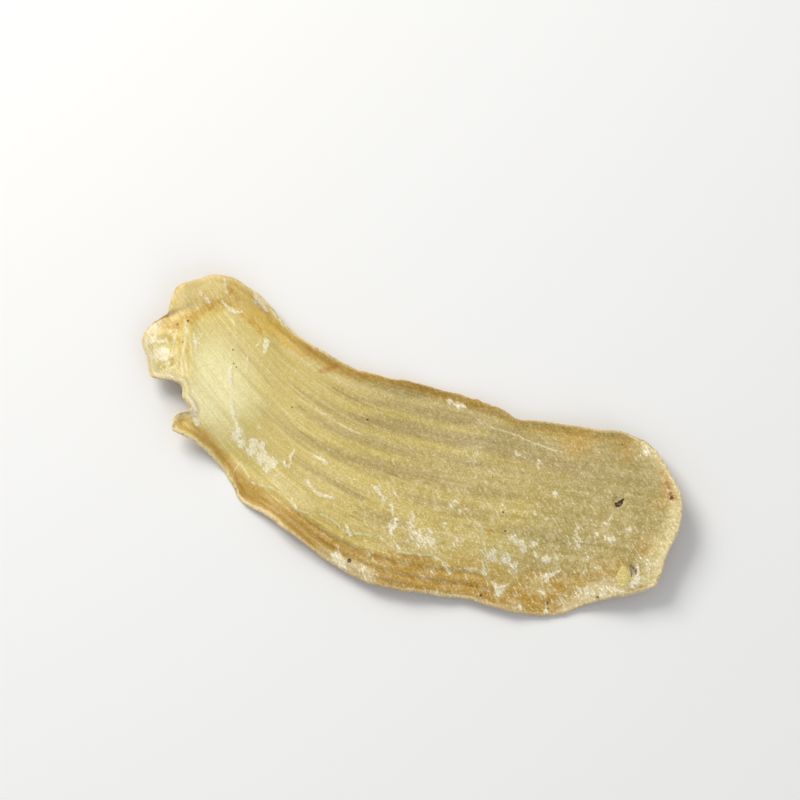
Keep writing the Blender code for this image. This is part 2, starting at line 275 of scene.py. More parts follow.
def overLedge(u, fromLower):
    # how far a place is above the scalloped line of the lower border
    f = form
    share = ((u * outline.length + f.scallopShift) / f.scallopLength) % 1.0
    scallop = f.scallop * math.sin(math.pi * share ** f.scallopSkew)
    bow = f.ledgeBow * bell(u - f.ledgeBowPlace, f.ledgeBowWidth)
    return fromLower - f.ledgeFromEdge - bow - scallop


def borderForm(u, fromLower):
    f = form
    over = overLedge(u, fromLower)
    slope = f.ledgeSlope
    ledge = smoothStep(-slope, slope, over) - smoothStep(slope, f.ledgeBack, over)
    drift = f.pleatDrift * waver(u * outline.length, 0, f.pleatDriftSize, 5)
    pleats = f.pleatDepth * math.cos(math.tau * (fromLower + drift) / f.pleatSpacing)
    inBand = smoothStep(0, f.pleatFade, fromLower)
    inBand *= fade(f.pleatBand - f.pleatFade, f.pleatBand, fromLower)
    return borderHeld(u) * (f.ledgeHeight * ledge - pleats * inBand)


def bentLine(x, bend, height, slope, softness):
    # falls to its bend and rises beyond it
    return height + slope * (math.hypot(x - bend, softness) - softness)


def fibreLine(place):
    # stays the same along one fibre
    f = form
    low = bentLine(place.x, *f.lowerFibre)
    high = bentLine(place.x, *f.upperFibre)
    fan = f.fibreFan * max((f.fanEnd - place.x) / f.fanLength, 0.0) ** 2
    return f.fibreWidth * (place.y - low) / (high - low) - fan


def fibreForm(u, place):
    f = form
    across = fibreLine(place)
    along = u * outline.length
    wander = f.ridgeWander * waver(along, across * 2, f.ridgeWanderSize, 1)
    strength = f.ridgeStrength + (1 - f.ridgeStrength) * waver(along / 3, across, f.ridgePatch, 6)
    strength -= f.ridgeFade * smoothStep(*f.ridgeFadeFrom, u)
    return f.ridgeHeight * strength * math.cos(math.tau * (across + wander) / f.ridgeSpacing)


def chipForm(place):
    f = form
    off = (place - f.chip).length * (1 + f.chipRagged * waver(*place, f.chipRadius, 11))
    return -f.chipDepth * fade(f.chipFloor * f.chipRadius, f.chipRadius, off)


def thickness(near, u):
    f = form
    flared, rim = f.flaredThickness, f.rimThickness
    body = flared + (f.bodyThickness - flared) * smoothStep(0, f.headLength, u)
    return rim + (body - rim) * smoothStep(0, f.thinWidth, near)


def freeHeight(u, v, place):
    # height of the cut face before the low spots are pressed down
    f = form
    height = f.clearance + f.bodyThickness + f.uneven * waver(*place, f.unevenSize, 0)
    return height + longForm(u, v) + rimForm(u, v) + lobeForm(place) + borderForm(u, distances(u, v)[0])


pressedSpots = []
for u, v in form.lowSpots:
    spot = plan(u, v)
    rise = freeHeight(u, v, spot) - thickness(min(distances(u, v)), u)
    pressedSpots.append((spot, rise + form.lowSpotPress))


# Finer relief, which only this surface has

fine = Values({
    "cellsAlong": 356, "cellsAcross": 124, "crowdAlong": 0.15, "crowdAcross": 0.2,
    "rimRings": 3, "rimInset": 0.16, "rimBulge": 0.1,
    "ridges": [(2.1, 0.07, 9), (1.05, 0.03, 6)],   # spacing, height, patch length
    "grain": 0.035, "grainSize": 0.9,
    "pits": 0.04, "pitSize": 2.3,
    "crumbs": 0.1, "crumbSize": 0.8,
    "lobeCrumple": 0.26, "lobeCrumpleSize": 2.2,
    "creaseFold": 0.16, "creaseFoldWidth": 0.35,
    "bandWrinkles": 0.06, "bandWrinkleSpacing": 0.85,
    "lipWaver": 0.22, "lipWaverSize": 4,
    "skinWrinkles": 0.09, "skinWrinkleSize": 1.3,
    "chalkHeight": 0.06, "threadHeight": 0.06, "threadWidth": 0.3, "crackDepth": 0.16, "crackWidth": 0.35,
    "flakeHeight": 0.16,
    "crumpledFrom": -6, "foldFrom": -2, "foldTo": 13, "endFade": 4, "rimFade": 1.2, "skinReach": (3, 8),
    "markReach": 4, "patchSpread": 1.35, "patchReach": 4, "creamFrom": (40, 44),
    "dust": 0.05, "dustLower": 0.3, "dustLowerFrom": (-30, 30), "dustLowerTo": (0.35, 0.8),
    "dustRight": 0.1, "dustRightFrom": (0, 40),
    "rimPlaces": 900,
})

# Bands of colour along the edges: (millimetres along, width)
upperBand = [
    (0, 11), (4, 10.4), (7, 8.4), (10, 6.6), (17, 6.4), (19, 6.9), (23, 6.4), (25, 5.4), (28, 4.4),
    (31, 3.6), (36, 3), (43, 2.4), (47, 1.8), (50, 1.5), (60, 1.8), (68, 2.1), (75, 2), (80, 1.8), (88, 2.6),
    (100, 2.8), (108, 2.4), (112, 1.2),
]
lowerBand = [
    (0, 3.4), (2, 3.8), (12, 3.8), (17, 4.4), (20, 5.7), (23, 5.4), (28, 4.2), (36, 5.6), (45, 5.4),
    (50, 6.2), (57, 7.4), (61, 7.4), (66, 6.4), (70, 4.6), (77, 4.6), (85, 6), (92, 5.6), (98, 3.4),
    (103, 1), (112, 0.4),
]
chalkBand = [
    (38.5, -1), (39.5, 1), (41, 2.3), (44, 2.8), (46.5, 2.2), (48, 3.4), (51, 3.6), (52, 3.2), (52.6, 1.8),
    (53.8, 0.8), (54.6, -1), (88, -1), (90, 0.4), (94, 1.6), (96.5, 2.6), (98, 4.3), (101, 4.4), (104, 3.6),
    (106, 2.4), (109, 1.2), (112, 0.5),
]
upperLip = [
    (0, 0), (10, 0.2), (18, 0.4), (20, 0.8), (24, 0.6), (26, 0.4), (44, 0.35), (50, 0.15), (80, 0.1),
    (95, 0.3), (112, 0.5),
]
lowerLip = [
    (0, 0.9), (4, 0.7), (12, 0.5), (24, 0.5), (27, 0.8), (33, 0.6), (36, 0.35), (56, 0.15), (66, 0.6),
    (82, 0.4), (90, 0.4), (112, 0.6),
]
# How pale those lips are: partly their own pale colour, partly painted highlight where the curled rim
# catches the light
upperLipPaleAndLit = [(0, 0.1), (14, 0.5), (20, 1), (36, 0.9), (46, 0.5), (80, 0.2), (100, 0.5), (112, 0.9)]
lowerLipPaleAndLit = [(0, 1), (10, 0.9), (24, 0.9), (34, 0.6), (40, 0.4), (60, 0.4), (68, 0.7), (86, 0.4), (112, 0.9)]
# Cream band inside the rounded end: (height up the slice, width)
creamBand = [(-16, 0.3), (-12, 2), (-5, 3.6), (3, 3.8), (14, 3), (19, 2), (24, 1.4), (26, 1)]


def runs(paths):
    # straight runs between the points of each path
    return [path[i:i + 6] for path in paths for i in range(0, len(path) - 3, 3)]


# Paths are rows of x, y, half width, x, y, half width and so on
# Streaks along the fibres, by fibre line instead of y
goldStreaks = runs([
    (-38, 20.4, 0, -30, 20.8, 0.4, -22, 20.9, 0.8, -15, 22.4, 0.9, -8, 23.6, 0.7, 0, 24.2, 0.4),
    (-23, 16.4, 0.1, -17, 16.8, 0.3, -11, 17.9, 0.8, -4, 18.2, 0.9, 2, 19.1, 0.8, 9, 19.4, 0.8,
     14, 19.8, 0.6, 19, 19.8, 0.3, 24, 19, 0.3, 27.5, 19.8, 1, 30, 20.8, 0.3),
    (24, 14, 0.4, 27, 13.6, 0.9, 29, 12.2, 0.9, 32, 12.4, 0.2),
    (-16, 30.2, 0.1, -11, 31.3, 0.5, -8, 32.7, 0.5, -4, 33.3, 0.4, 4, 33.2, 0.5, 14, 33.6, 0.4),
    (-10, 27.8, 0.2, -4, 28.3, 0.5, 6, 28.7, 0.8, 16, 28.7, 0.8, 26, 28, 0.5, 34, 27, 0.1),
    (12, 37, 0.3, 20, 36, 0.6, 27, 35.2, 0.6, 34, 34.8, 0.3),
    (-32, 5.6, 0.2, -24, 5.2, 0.4, -12, 5.4, 0.4, -4, 5.8, 0.4, 4, 5.8, 0.5),
    (-44, 8, 0.3, -38, 9.4, 0.3, -30, 10.2, 0.1),
])
greyStreaks = runs([
    (-33, 16.6, 0.1, -25, 17.9, 0.7, -20, 18.9, 1, -13, 20.2, 0.8, -7, 21.3, 0.9, 0, 21.9, 1, 6, 22.3, 1,
     12, 21.7, 0.9, 18, 21.4, 0.8, 25, 22, 0.4),
    (-24, 23.8, 0.2, -18, 24.4, 0.6, -12, 25, 0.6, -5, 25.7, 0.6, 2, 26.2, 0.4),
    (-26, 27, 0.1, -20, 27.6, 0.6, -16, 28.2, 0.6, -11, 28.8, 0.6, -7, 30, 1, 0, 30.5, 1.1, 8, 30.9, 1,
     16, 31.1, 1, 24, 30.5, 1.1, 33, 29.8, 1.1, 44, 29.2, 0.4),
    (-20, 32.6, 0.2, -14, 33.2, 0.5, -6, 34.6, 0.8, 4, 34.8, 0.7, 11, 34.9, 0.3),
    (3, 17.9, 0.3, 9, 17.6, 0.7, 14, 17, 0.6, 22, 17.2, 0.4), (-3, 11.4, 0.5, 3, 11.9, 0.9, 7, 12.2, 0.3),
    (13.2, 14, 0.2, 14.5, 12.4, 0.3, 15.2, 10.8, 0.2), (10, 27.1, 0.2, 14, 26.8, 0.6, 18, 26.2, 0.3),
    (26, 15.4, 0.3, 31, 16, 0.7, 38, 15.6, 0.7, 46, 15, 0.3),
    (-20, 13.8, 0.3, -12, 14.6, 0.7, -4, 14.2, 0.4), (7.6, 8.8, 0.4, 9.6, 9.4, 0.5),
    (-40, 23.5, 0.1, -34, 24, 0.3, -28, 23.6, 0.1), (31, 9, 0.2, 36, 8.8, 0.4),
])
paleStreaks = runs([
    (-30, 29.8, 0, -25, 30.2, 0.2, -19, 31.1, 0.1), (-24, 25.2, 0, -19, 26.1, 0.15, -11, 26.3, 0.1),
    (-31, 33, 0.3, -26, 34, 0.8, -20, 35, 0.5, -10, 36.6, 0.4, 2, 37, 0.5, 10, 37, 0.3),
    (-28, 7.4, 0.3, -20, 7.6, 0.6, -12, 7.4, 0.4), (-37, 18.9, 0, -30, 19.4, 0.2, -25, 19.6, 0),
    (-38, 26.4, 0.1, -36.6, 24.6, 0.2, -37, 22.6, 0.1), (11, 29.3, 0.1, 13.6, 30, 0.4, 15, 30.4, 0.1),
    (11.5, 9.4, 0.5, 14, 9, 0.8, 15.4, 8, 0.3),
])
# Dark lines of the lower border: along, height above the edge
amberLines = runs([
    (28, 4, 0, 33, 3.7, 0.3, 38, 3.7, 0.35, 42, 3.4, 0.4, 46, 3.3, 0.3, 48, 3.9, 0.1),
    (33, 5, 0, 39, 5.3, 0.15, 46, 4.7, 0.3, 51, 5.2, 0.35, 56, 5.3, 0.45, 61, 4.6, 0.3, 67, 3.9, 0),
    (60, 3.1, 0, 65, 3.2, 0.3, 70, 2.1, 0.3, 76, 1.7, 0.2, 82, 2, 0),
    (54, 2.6, 0.5, 57, 1.6, 0.9, 61, 1.4, 0.5), (30, 2.2, 0.1, 34, 1.7, 0.4, 38, 1, 0.4),
    (59, 7.1, 0.2, 62, 7.2, 0.5, 65.5, 6.6, 0.2), (17, 2.8, 0.2, 20, 1.6, 0.8, 22, 2.6, 0.2),
    (4, 2.6, 0.2, 10, 2.2, 0.3, 15, 2.4, 0.1), (73, 3, 0.4, 77, 2.8, 0.6, 80, 3.2, 0.2),
    (90, 4, 0.4, 93, 3.4, 0.9, 96.5, 3.2, 0.3),
])

drawn = {}     # marks seen from above, by mask
# Brown band where the cap of the flared end folds down, darkened further as painted shade in the crease
drawn["fold"] = runs([
    (-57.6, 7.6, 0.2, -55.4, 7.4, 0.5, -52.8, 9.8, 0.6, -51.2, 12, 0.7, -49.6, 14.6, 0.8, -47.4, 16.6, 0.5,
     -45.4, 16.9, 0.1), (-42.6, 15.6, 0.1, -40.8, 15.9, 0.5, -38, 14.4, 0.2),
    (-47.2, 20, 0.3, -45, 18.6, 0.3), (-58.6, 13.6, 0, -57.2, 16.6, 0.1),
])

# Patches: (x, y, radius, strength)
starchPatches = [
    # head and lobe
    (-54.6, 1.1, 1, 3), (-58.4, 3, 1.4, 1.4), (-59.3, 5.2, 1.4, 1.6), (-58.4, 7.6, 1.2, 1.2),
    (-55.6, 3.6, 1, 0.9), (-57.2, -0.4, 1.2, 1), (-56, -2.6, 1.3, 1), (-53.4, -3.6, 1.2, 0.8),
    (-50.8, -2.8, 1, 0.8), (-48.8, 6, 0.9, 0.9), (-44.7, -6, 1, 1.8), (-43.3, -7.5, 0.9, 1.8),
    (-41.6, -9, 0.7, 1.3), (-42.6, -4.2, 2.4, 0.5), (-41.4, 20.4, 0.9, 1),
    # below the gold streak, left
    (-33.2, -8, 1.2, 1.5), (-31.8, -9, 1, 1.3), (-29.4, -8.2, 1, 1.8), (-27.7, -7.7, 0.8, 1.6),
    (-29.2, -9.8, 1.2, 1.5), (-26.6, -10.2, 1.3, 1.7), (-24.5, -10.4, 1.1, 1.6), (-24.6, -11.9, 0.9, 1.2),
    (-22.3, -12.6, 0.9, 0.7), (-29.6, -4.7, 0.7, 0.7), (-15.6, -11.4, 0.7, 1.1),
    # middle
    (-1.2, -7, 0.9, 0.9), (0.6, -8.2, 0.9, 0.9), (2.4, -6.6, 0.9, 0.7), (4.8, -12.8, 0.9, 1.4),
    (4.9, -14, 0.8, 1.1), (8, -11.2, 1.3, 1.1), (10.2, -12.2, 1.5, 1.2), (12.2, -11.6, 1.4, 1),
    (11.4, -13.4, 1.3, 1.1), (13.6, -12.6, 1.2, 0.8), (8.6, -8.4, 0.9, 0.6), (14.4, -3.2, 1.2, 0.8),
    (18.5, -10.3, 1, 0.9), (21.8, -5.4, 0.8, 1), (20.4, -1.2, 0.8, 0.8), (16.6, -4, 1, 0.7),
    (2.7, -20.2, 0.6, 1), (3.6, -21, 0.5, 1), (15.2, -18.4, 1, 0.8),
    # right
    (26.4, -10, 1.4, 1.2), (28.8, -9.4, 1.4, 1.1), (31.4, -9.8, 1.3, 1.1), (25.7, -11.4, 0.9, 1.2),
    (24, -9.4, 1.2, 0.8), (28.9, -4.8, 1, 1.2), (31.2, -5.2, 1.2, 1.1), (32.9, -4.2, 0.9, 1),
    (36.8, -5.9, 1, 1.2), (38.6, -5, 0.8, 0.9), (38.2, -9.4, 1.1, 1.1), (26.1, -14, 0.8, 1.1),
    (30.2, -16, 0.9, 1.5), (35.2, -17.2, 1.2, 1), (41.2, -15.9, 0.6, 1.4), (47.4, 3, 1, 1.2),
    (45.6, 5.9, 0.8, 1), (49.9, 6.4, 0.8, 0.9), (44.4, 2.6, 0.8, 0.9), (42, 0, 1.6, 0.8),
    (44, -2.2, 1.4, 0.8), (47.2, -3.6, 0.9, 0.9), (40.6, 1.6, 1, 0.8), (27.2, 12.4, 0.6, 0.7),
    (22.6, 12.4, 0.9, 0.8), (33.2, 7.2, 0.7, 1), (36.4, 13.8, 0.6, 0.8), (4.6, 17, 0.8, 1.2),
    (7.2, 17.3, 0.7, 1.3), (5.8, 17.2, 0.8, 1), (14, 8, 2.2, 0.5), (12.4, 5.8, 1.6, 0.45),
    # chalky lower edge
    (45.8, -9.4, 1.4, 0.9), (48.2, -8.6, 1.4, 1.1), (50.4, -7.8, 1.4, 1.1), (52.6, -7.4, 1.2, 1.1),
    (54, -6.4, 1.2, 1), (44, -12.6, 1.4, 0.8), (56.4, -2.8, 1, 1.2), (56.8, 1.6, 1.8, 0.7),
    (58.6, 9.8, 1.6, 0.6), (46.8, 23.6, 1.2, 1), (46.2, 22, 1, 0.7), (-3.4, -23.4, 0.9, 2),
    (-2, -24.2, 0.9, 1.8), (2.4, -24, 1.6, 0.8), (4.8, -23.8, 1.4, 0.9), (18.8, -22.2, 0.8, 1.4),
    (21.2, -21.3, 0.6, 1.3), (23.1, -20.8, 0.5, 1.2), (16.2, -23, 0.6, 1.2), (13.8, -23.8, 0.6, 1),
]
amberPatches = [
    (55, 4.6, 2.2, 0.9), (51.4, -2.2, 2.4, 0.9), (48.6, -4.8, 2.6, 0.9), (44.8, -8, 2.6, 0.9),
    (41.4, -11, 3.4, 0.9), (36.6, -13, 4.2, 1), (29, -13.6, 3.6, 0.7), (23, -16.6, 5, 0.9),
    (33, 19.4, 3.4, 0.8), (43, 21.8, 3, 0.6), (52, 11, 6, 0.3), (56.6, 17.2, 1.6, 0.8),
    (14, -20.6, 4.6, 0.7), (54.4, 14.6, 2.4, 0.7), (-25.4, -19.4, 2.8, 0.9), (-40, -11.6, 2.4, 0.7),
]

drawn["stroke"] = runs([
    (-47.9, 16.7, 0.22, -46.3, 16.1, 0.3, -45, 15.9, 0.42, -44.2, 15.9, 0.2, -43.2, 16.4, 0.26),
    (-49.2, 21, 0, -48.5, 20.2, 0.22, -47.6, 18.8, 0.26), (-52.5, 16.4, 0.32, -52.2, 16.1, 0.3),
    (-50.9, 15.8, 0.28, -50.1, 15.3, 0.2), (-42.2, 21.2, 0.3, -41, 19.9, 0.5, -38.6, 19, 0.45),
    (-50.1, 7.7, 0, -49, 5.9, 0.3, -48.3, 5, 0.15), (-48.5, 8.8, 0, -48.8, 6.6, 0.12),
    (-40.1, 4.6, 0.1, -39.5, 2.3, 0.42, -38.3, 0.5, 0.3),
    (-37.2, -1.9, 0.3, -35.9, -4.2, 0.42, -35.2, -5.2, 0.2),
    (-34.9, -5.3, 0.2, -33.4, -6.8, 0.4, -32.8, -8, 0.3),
    (-35.8, 12.9, 0.6, -35.3, 11.6, 0.46, -35, 10.2, 0.2), (-36.9, 12.6, 0.05, -37, 11, 0.1, -37.7, 9.3, 0),
    (-37.8, 8, 0.1, -36.6, 4.6, 0.05), (-22.1, -8.7, 0.16, -21.6, -9.6, 0.22, -20.7, -10.2, 0.05),
    (-20.9, -6.1, 0.24, -21, -7.4, 0.26, -20.3, -9.9, 0),
    (-17.2, -5.2, 0, -15.9, -5.8, 0.3, -14.4, -5.6, 0.36, -13.1, -6.3, 0.2),
    (-15, -11.8, 0.2, -12.2, -13, 0.3, -9, -12.4, 0.2), (2.3, -8, 0.2, 3.1, -9.6, 0.26, 3.9, -10.6, 0.3),
    (3.9, -11.8, 0.14, 5.3, -11.1, 0.24), (-2.6, -6.5, 0.2, -1.2, -7.2, 0.28, 0.2, -8.2, 0.2),
    (7.2, -8.3, 0.14, 8.3, -10, 0.2), (13.8, -8.4, 0.22, 14.7, -7.9, 0.2),
    (26.8, 11.7, 0.16, 27.6, 11.1, 0.3), (17.4, 6.6, 0.1, 18.9, 6.2, 0.16), (23.6, 0.9, 0.1, 24.8, 0.3, 0.2),
    (30, 2.6, 0.1, 30.6, 2, 0.28), (30.6, 2.2, 0.1, 31.2, 1.4, 0.2), (34, -5.5, 0.24, 35, -6.3, 0.32),
    (35.8, -6.4, 0.2, 37.4, -5.6, 0.34), (37.6, -9.4, 0.3, 38.6, -8.8, 0.42, 40.3, -6.9, 0.26),
    (38, -12.5, 0.3, 39.2, -12.6, 0.3), (28.6, -14.8, 0.2, 29.6, -15.8, 0.36, 30.6, -16.6, 0.4),
    (30, -15.6, 0.3, 31.9, -13.7, 0.14),
    (-46.4, -5.5, 0.2, -44.6, -7, 0.26, -43, -8.4, 0.24, -41.7, -9.7, 0.16),
    (-45, -5.2, 0.1, -43, -6.6, 0.28, -42.4, -7.8, 0.2), (46.4, 24.4, 0.3, 47.2, 22.8, 0.3),
    (54.7, 0.3, 0.2, 55.5, -1, 0.2, 56, -2.4, 0.5, 55.6, -4, 0.44),
    # these four strokes are painted highlights on the cusps of the lower ledge
    (-4.6, -16.3, 0.05, -3.7, -17.2, 0.26, -2.7, -18, 0.32),
    (5.9, -15.4, 0, 7.2, -16.2, 0.16, 8.1, -17, 0.3), (16.8, -15.6, 0, 18.2, -16.1, 0.2, 19.6, -16.9, 0.26),
    (-18, -15.2, 0, -16.6, -16.4, 0.18, -15.4, -17.3, 0.22),
])
drawn["thread"] = runs([
    (-53.3, 9.6, 0.1, -52.3, 8.5, 0.14, -51.2, 6, 0.18, -50.2, 1.5, 0.14, -48.4, -2.4, 0.06),
    (-59.6, 8.4, 0.1, -57.4, 4, 0.1, -56.8, 3, 0), (-53.9, 7, 0, -52.6, 1, 0.06),
    (-22.2, 4.2, -0.1, -18.6, 3.4, 0.06, -15.1, 2.8, 0, -11.6, 2.4, 0.08, -9, 2.7, -0.1),
    (14.3, 15.4, -0.1, 20.5, 15.9, 0.04, 24.4, 15.8, 0, 28.7, 16, 0.02, 32, 16.4, -0.1),
    (35, -6.6, -0.1, 36.8, -8.8, 0, 39.2, -12.4, -0.02, 41.2, -15.6, 0.06),
    (-33, 3.4, -0.1, -26, 0.6, 0, -20, -0.6, -0.1), (-44, 13.8, 0, -41.6, 10.4, -0.05),
])
drawn["crack"] = runs([
    (53.4, -0.3, 0.1, 54.2, -0.6, 0.2, 54.9, -1.2, 0.1), (53.7, -1.1, 0.06, 54.4, -1.9, 0.12, 54.6, -2.6, 0),
    (54.9, -0.6, 0, 55.3, -1.6, 0.1), (40.6, -14, 0.16, 40.7, -14.4, 0.1),
    (41.2, -15.1, 0.14, 41.5, -15.4, 0),
])
drawn["stain"] = runs([
    (-54.5, 7.9, 0.5, -54, 7.4, 0.3), (-52.2, 9.7, 0.2, -51.6, 9.3, 0.1), (-49.6, 14.2, 0, -49, 15, 0.1),
    (-47.1, 18.9, 0, -46.9, 19.7, 0.1), (-58.6, 14.9, 0.1, -56.6, 16.8, 0),
    (-22.9, 11.6, 0.4, -21.6, 12.8, 0.6, -20.1, 14.2, 0.45), (-27, 15, 0.3, -26.6, 14.4, 0.35),
    (23.6, -5.6, 0.26, 24.4, -5.3, 0.2), (55.2, -5.6, 0.3, 57.6, -3.6, 0.3),
    (51.6, 20.6, 0.3, 53.2, 18.9, 0.6, 54.6, 17.4, 0.8, 55.3, 16.6, 0.85, 55.7, 16, 0.9),
])
drawn["flake"] = runs([(52.5, -1.6, 0.6, 53, -2.8, 1.3, 53.4, -4.2, 1)])
drawn["chip"] = runs([
    (46.5, 11.9, 0.16, 46.2, 10.9, 0.5, 45.9, 10.3, 0.5), (46, 10.4, 0.4, 45.2, 10.5, 0.1),
])


def fromRuns(place, marks):
    # how far a place is outside the nearest of the drawn marks
    nearest = most = fine.markReach
    for x0, y0, half0, x1, y1, half1 in marks:
        if min(x0, x1) - most < place.x < max(x0, x1) + most:
            runX, runY = x1 - x0, y1 - y0
            offX, offY = place.x - x0, place.y - y0
            share = min(max((offX * runX + offY * runY) / (runX * runX + runY * runY), 0.0), 1.0)
            away = math.hypot(offX - runX * share, offY - runY * share)
            nearest = min(nearest, away - half0 - (half1 - half0) * share)
    return nearest


def patchy(place, patches):
    amount = 0.0
    for x, y, radius, strength in patches:
        if abs(place.x - x) < fine.patchReach * radius:
            away = math.hypot(place.x - x, place.y - y)
            amount = max(amount, strength * bell(away, radius * fine.patchSpread))
    return amount


def markedAt(u, v, place, rim):
    # the masks that the material reads: bands and marks as distances in millimetres, patches as amounts
    fromLower, fromUpper = distances(u, v)[:2]
    along, across = u * outline.length, fibreLine(place)
    fibre, border = Vector((place.x, across)), Vector((along, fromLower))
    f = fine
    dusty = f.dustLower * smoothStep(*f.dustLowerFrom, place.x) * fade(*f.dustLowerTo, v)
    dusty += f.dust + f.dustRight * smoothStep(*f.dustRightFrom, place.x)
    return {
        "along": along,
        "across": across,
        "rim": rim,
        "lip": rim - readOff(upperLip, along) * v - readOff(lowerLip, along) * (1 - v),
        "lipPale": readOff(upperLipPaleAndLit, along) * v + readOff(lowerLipPaleAndLit, along) * (1 - v),
        "upperBand": fromUpper - readOff(upperBand, along),
        "lowerBand": fromLower - readOff(lowerBand, along),
        "chalkBand": fromLower - readOff(chalkBand, along),
        "creamBand": rim - readOff(creamBand, place.y) + 6 * fade(*f.creamFrom, place.x),
        "ledge": overLedge(u, fromLower) + 20 * (1 - borderHeld(u)),
        "dust": dusty,
        "starch": patchy(place, starchPatches),
        "amber": patchy(place, amberPatches),
        "gold": fromRuns(fibre, goldStreaks),
        "grey": fromRuns(fibre, greyStreaks),
        "pale": fromRuns(fibre, paleStreaks),
        "amberLine": fromRuns(border, amberLines),
        **{name: fromRuns(place, marks) for name, marks in drawn.items()},
    }


def fineForm(u, v, place, near, marks):
    # relief of the cut face
    f = fine
    fromLower = distances(u, v)[0]
    along, across = marks["along"], marks["across"]
    relief = f.grain * waver(*place, f.grainSize, 31)
    relief -= f.pits * max(waver(*place, f.pitSize, 33), 0.0)
    for spacing, height, patch in f.ridges:
        wander = spacing * 0.8 * waver(along, across * 3, patch * 3, spacing)
        strength = max(0.5 + waver(along / 3, across, patch, spacing + 7), 0)
        relief += height * strength * math.cos(math.tau * (across + wander) / spacing)
    crumbs = max(waver(*place, f.crumbSize, 37), 0.0)
    relief += f.crumbs * min(marks["starch"] + marks["dust"], 1.0) * crumbs
    beyond = beyondCrease(place)
    onLobe = smoothStep(0, 2, beyond) * smoothStep(f.crumpledFrom, f.crumpledFrom + 3, place.y)
    relief += f.lobeCrumple * onLobe * waver(*place, f.lobeCrumpleSize, 41)
    onFold = smoothStep(f.foldFrom, f.foldFrom + 3, place.y)
    onFold *= fade(f.foldTo - f.endFade, f.foldTo, place.y)
    relief -= f.creaseFold * bell(beyond, f.creaseFoldWidth) * onFold
    inBand = fade(-1, 0, marks["lowerBand"])
    drift = 0.7 * waver(along, fromLower, 9.0, 43)
    wrinkle = math.cos(math.tau * (fromLower + drift) / f.bandWrinkleSpacing)
    relief += f.bandWrinkles * inBand * wrinkle * max(0.4 + waver(along / 2, fromLower, 5.0, 45), 0.0)
    relief += f.chalkHeight * fade(-0.1, 0.35, marks["stroke"])
    relief += f.threadHeight * bell(max(marks["thread"], 0), f.threadWidth)
    relief -= f.crackDepth * bell(max(marks["crack"], 0), f.crackWidth)
    relief += f.flakeHeight * fade(-0.25, 0.15, marks["flake"])
    return relief * smoothStep(0, f.rimFade, near)


# The piece: one grid laid out on the plan, extruded to the two faces, with a rounded rim

masks = [*markedAt(0.5, 0.5, plan(0.5, 0.5), 0), "under"]


def crowded(share, amount):
    # moves even shares closer together towards 0 and 1
    return share - amount * math.sin(math.tau * share) / math.tau


def rimTree():
    # finds how far any place is from the outline
    places = []
    for i in range(fine.rimPlaces):
        share = i / fine.rimPlaces
        places += [plan(share, 0.0), plan(share, 1.0), plan(0.0, share), plan(1.0, share)]
    tree = kdtree.KDTree(len(places))
    for i, place in enumerate(places):
        tree.insert((place.x, place.y, 0), i)
    tree.balance()
    return tree


def surveyed(u, v, tree):
    # one place on the blade: where it lies, its two heights and its marks
    place = plan(u, v)
    near = min(distances(u, v))
    top = freeHeight(u, v, place)
    for spot, press in pressedSpots:
        top -= press * bell((place - spot).length, form.lowSpotRadius)
    thick = thickness(near, u)
    bottom = max(top - thick, 0.0)
    inner = smoothStep(0, form.thinWidth, near)
    marks = markedAt(u, v, place, tree.find((place.x, place.y, 0))[2])
    relief = inner * (fibreForm(u, place) + chipForm(place)) + fineForm(u, v, place, near, marks)
    top = bottom + thick + relief
    lip = fade(0.3, form.lipWidth, near)
    lip *= fine.lipWaver * waver(*place, fine.lipWaverSize, 51)
    skin = fade(*fine.skinReach, near) * smoothStep(0, 1.5, near)
    wrinkle = fine.skinWrinkles * skin * waver(*place, fine.skinWrinkleSize, 53)
    lifted = smoothStep(0.0, 0.5, bottom)
    return place, top + lip * lifted, max(bottom + lifted * (wrinkle + lip), 0.0), marks


def added(name, data):
    thing = bpy.data.objects.new(name, data)
    bpy.context.scene.collection.objects.link(thing)
    return thing


def addedMesh(name, mesh):
    data = bpy.data.meshes.new(name)
    mesh.to_mesh(data)
    mesh.free()
    return added(name, data)


def makeBlade():
    f = fine
    mesh = bmesh.new()
    bmesh.ops.create_grid(mesh, x_segments=f.cellsAlong, y_segments=f.cellsAcross, size=0.5)
    for name in masks:
        mesh.verts.layers.float.new(name)
    mesh.verts.layers.float_vector.new("outward")
    layers = {name: mesh.verts.layers.float.get(name) for name in masks}
    under = mesh.verts[:]
    corners = [tuple(vert.co) for vert in under]
    made = bmesh.ops.extrude_face_region(mesh, geom=mesh.faces[:])["geom"]
    above = {tuple(vert.co): vert for vert in made if isinstance(vert, bmesh.types.BMVert)}
    tree = rimTree()
    for vert, corner in zip(under, corners):
        u = crowded(corner[0] + 0.5, f.crowdAlong)
        v = crowded(corner[1] + 0.5, f.crowdAcross)
        place, top, bottom, marks = surveyed(u, v, tree)
        over = above[corner]
        over.co = Vector((place.x, place.y, top)) * mm
        vert.co = Vector((place.x, place.y, bottom)) * mm
        for name, value in marks.items():
            over[layers[name]] = vert[layers[name]] = value
        over[layers["under"]] = 0.0
        vert[layers["under"]] = 1.0
    roundRim(mesh, set(above.values()), layers["under"])
    bmesh.ops.recalc_face_normals(mesh, faces=mesh.faces[:])
    blade = addedMesh("gastrodiaBlade", mesh)
    blade.data.shade_smooth()
    return blade


